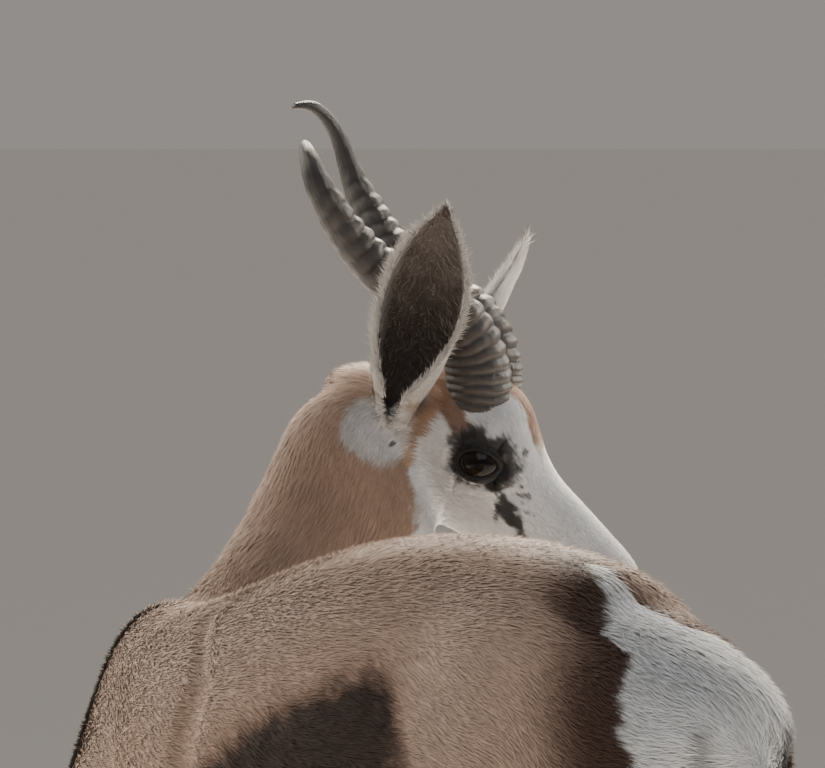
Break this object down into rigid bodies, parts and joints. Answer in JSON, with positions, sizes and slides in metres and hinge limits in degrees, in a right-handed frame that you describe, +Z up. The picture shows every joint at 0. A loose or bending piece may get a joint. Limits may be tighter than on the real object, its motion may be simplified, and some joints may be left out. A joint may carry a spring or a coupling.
{
  "type": "springbok",
  "caption": "Life-size standing springbok ram, still and whole, looking back over its right side, with ringed horns, cloven hooves and a tufted tail; for wildlife and museum scenes.",
  "frame": {"origin": "centre of the bounding box on the ground under the hooves", "axes": "+Z up, the ram's body faces -Y with its tail towards +Y, +X is the ram's left side"},
  "size_m": [0.5399, 0.8938, 1.1687],
  "materials": {
    "coat": "short flat hair, cinnamon above, dark brown side band, white below and on face and rump",
    "horn": "grey-black keratin with raised rings, smoother at the tips",
    "hoof": "black keratin, slightly polished",
    "eye": "wet, very dark brown"
  },
  "bodies": {
    "root": {"torso": "coat", "neck": "coat", "head": "coat", "tail": "coat", "forearm_left": "coat", "fore_foot_left": "coat", "hind_shank_left": "coat", "hind_foot_left": "coat", "ear_left": "coat", "horn_left": "horn", "eye_left": "eye", "fore_claw_inner_left": "hoof", "fore_claw_outer_left": "hoof", "hind_claw_inner_left": "hoof", "hind_claw_outer_left": "hoof", "forearm_right": "coat", "fore_foot_right": "coat", "hind_shank_right": "coat", "hind_foot_right": "coat", "ear_right": "coat", "horn_right": "horn", "eye_right": "eye", "fore_claw_inner_right": "hoof", "fore_claw_outer_right": "hoof", "hind_claw_inner_right": "hoof", "hind_claw_outer_right": "hoof"}
  },
  "joints": []
}
